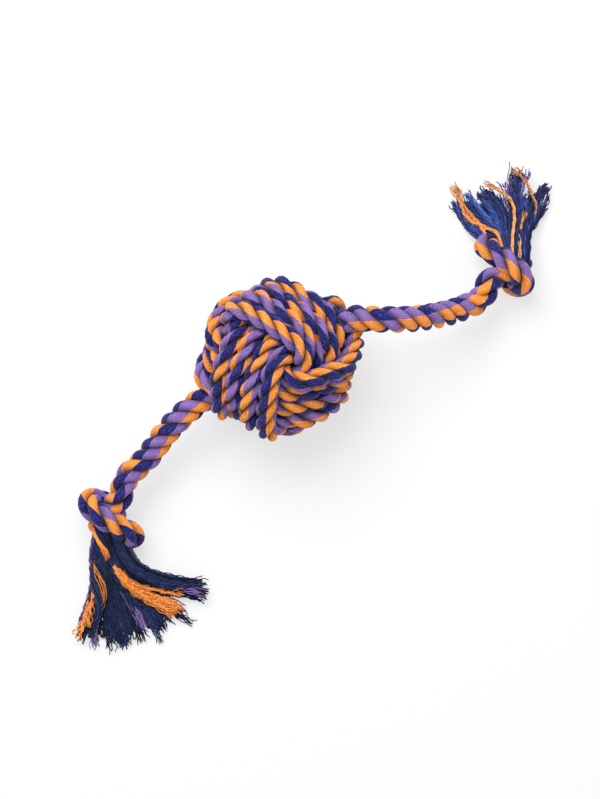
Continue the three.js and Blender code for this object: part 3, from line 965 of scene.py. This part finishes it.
def bake_places(count):
    """The place of each face corner on that map. A strip has a yarn's root end, its sides and its tip end."""
    across = math.ceil(math.sqrt(count) * strips_across)
    down = math.ceil(count / across)
    number = np.arange(count)
    strips = np.stack([number % across, number // across], axis=1)[:, None]

    def placed(corners):
        in_strip = corners / [yarn_sides, yarn_rings + 1] * strip_fill
        return ((strips + in_strip) / [across, down]).reshape(-1, 2)

    side, ring = np.meshgrid(np.arange(yarn_sides), np.arange(1, yarn_rings))
    quad = np.array([[0, 0], [1, 0], [1, 1], [0, 1]])
    faces = (np.stack([side, ring], axis=2).reshape(-1, 1, 2) + quad).reshape(-1, 2)
    root_end = np.array([[0, 0], [yarn_sides, 0], [yarn_sides / 2, 1]])
    tip_end = root_end + [0, yarn_rings]
    return np.concatenate([placed(faces), placed(root_end), placed(tip_end)])


tassel_finish = yarn_finish()


def make_tassel(side_name, seed):
    draw = np.random.default_rng(seed)
    bend = joints[side_name + "_tassel_flop"]
    locks = [lock_yarns(draw, side_name, bend, lock) for lock in lock_tables[side_name]]
    yarns, tints, shades = (np.concatenate(values) for values in zip(*locks))
    attributes = {"tint": np.repeat(tints, yarn_rings * yarn_sides), "shade": np.repeat(shades, yarn_sides)}
    piece = make_piece(side_name + "_tassel_yarn", *tubes(yarns), tassel_finish, attributes)
    piece.data.uv_layers.new(name=bake_map).data.foreach_set("uv", bake_places(len(yarns)).ravel())
    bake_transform(piece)
    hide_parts(side_name + "_tassel_neck",
                *[f"{side_name}_tassel_lock_{n + 1}" for n in range(strand_count)])


for tassel_side, tassel_seed in tassel_seeds.items():
    make_tassel(tassel_side, tassel_seed)


# Floor, light and camera
# A white table under a large soft lamp in a white room, seen from straight above. The table shows as nearly
# white and keeps the toy's shadow.

table_half = 2
table_white = (0.9, 0.9, 0.9, 1)
pure_white = (1, 1, 1, 1)
own_white = 0.6
lamp_size = 0.9
lamp_power = 12.5
lamp_up_image = 0.55
lamp_left_image = 0.25
lamp_height = 1.0
room_light = 0.6

# The picture: its turn from the object's axes, its scale, and the pixel that the ball's centre lies on
image_turn = math.radians(28.3)
image_right = np.array([math.cos(image_turn), -math.sin(image_turn), 0])
image_up = np.array([math.sin(image_turn), math.cos(image_turn), 0])
metres_per_pixel = 0.56 * mm
ball_pixel = np.array([279, 357])
frame_middle = np.array([300, 399.5])
frame_height = 799
camera_distance = 1.2


def floor_finish():
    finish = Finish("white table")
    straight = finish.node("ShaderNodeLightPath", output="Is Camera Ray")
    glossy = finish.node("ShaderNodeLightPath", output="Is Glossy Ray")
    through_glass = finish.node("ShaderNodeLightPath", output="Is Transmission Ray")
    white = finish.node("ShaderNodeEmission", None, {"Color": pure_white, "Strength": 1.0})
    table = finish.node("ShaderNodeBsdfDiffuse", None, {"Color": table_white})
    share = own_white * (straight + glossy + through_glass)
    return finish.ended(finish.node("ShaderNodeMixShader", None, {0: share, 1: table, 2: white}))


table_corners = np.array([[-1, -1, 0], [1, -1, 0], [1, 1, 0], [-1, 1, 0]], float) * table_half
floor = make_piece("table", table_corners, np.array([[0, 1, 2, 3]]), np.empty((0, 4), int), floor_finish())

lamp_data = bpy.data.lights.new("key lamp", "AREA")
lamp_data.shape = "DISK"
lamp_data.size = lamp_size
lamp_data.energy = lamp_power
lamp = bpy.data.objects.new("key lamp", lamp_data)
lamp_place = ball_centre + image_up * lamp_up_image - image_right * lamp_left_image + [0, 0, lamp_height]
lamp.location = lamp_place
lamp.rotation_euler = mathutils.Vector(ball_centre - lamp_place).to_track_quat("-Z", "Y").to_euler()
bpy.context.scene.collection.objects.link(lamp)

world = bpy.data.worlds.new("soft room")
world.use_nodes = True
room = world.node_tree.nodes["Background"]
room.inputs["Color"].default_value = pure_white
room.inputs["Strength"].default_value = room_light
bpy.context.scene.world = world

off_centre = (ball_pixel - frame_middle) * metres_per_pixel
aim = ball_centre - image_right * off_centre[0] + image_up * off_centre[1]
camera_data = bpy.data.cameras.new("camera")
camera_data.lens = camera_data.sensor_width * camera_distance / (frame_height * metres_per_pixel)
camera = bpy.data.objects.new("camera", camera_data)
camera.location = aim + [0, 0, camera_distance]
camera.rotation_euler = (0, 0, -image_turn)
bpy.context.scene.collection.objects.link(camera)
bpy.context.scene.camera = camera

bpy.context.scene.view_settings.view_transform = "Standard"
